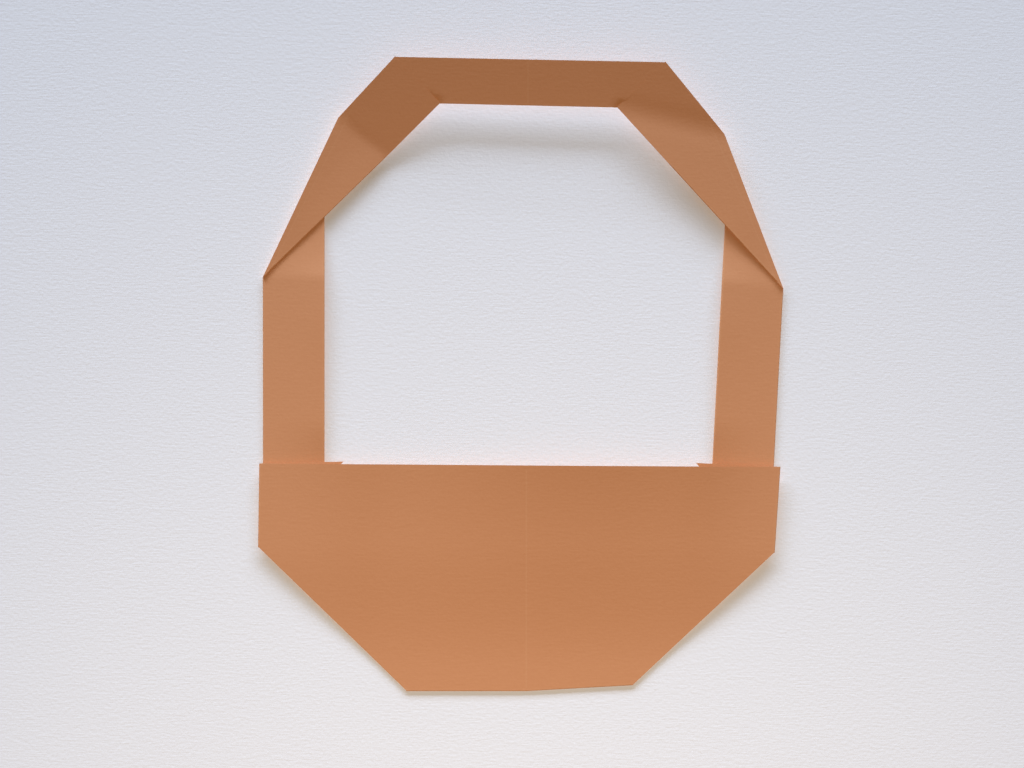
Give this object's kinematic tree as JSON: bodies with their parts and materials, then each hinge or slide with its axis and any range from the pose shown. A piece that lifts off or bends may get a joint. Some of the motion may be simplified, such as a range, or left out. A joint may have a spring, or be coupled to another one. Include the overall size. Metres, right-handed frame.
{
  "type": "origami_basket",
  "caption": "Flat origami basket folded from brown kraft paper, with a broad pocket that narrows to its bottom fold and a pleated hoop handle that turns over at its shoulders.",
  "frame": {"origin": "The middle of the basket's outline, on the surface that it lies on.", "axes": "+X to the basket's right as its front is seen, +Y from the pocket towards the top of the handle, +Z out of its front, away from the surface that it lies on."},
  "size_m": [0.1592, 0.192, 0.0069],
  "materials": {
    "kraft_paper": "matte"
  },
  "bodies": {
    "root": {"folded_sheet": "kraft_paper"}
  },
  "joints": []
}
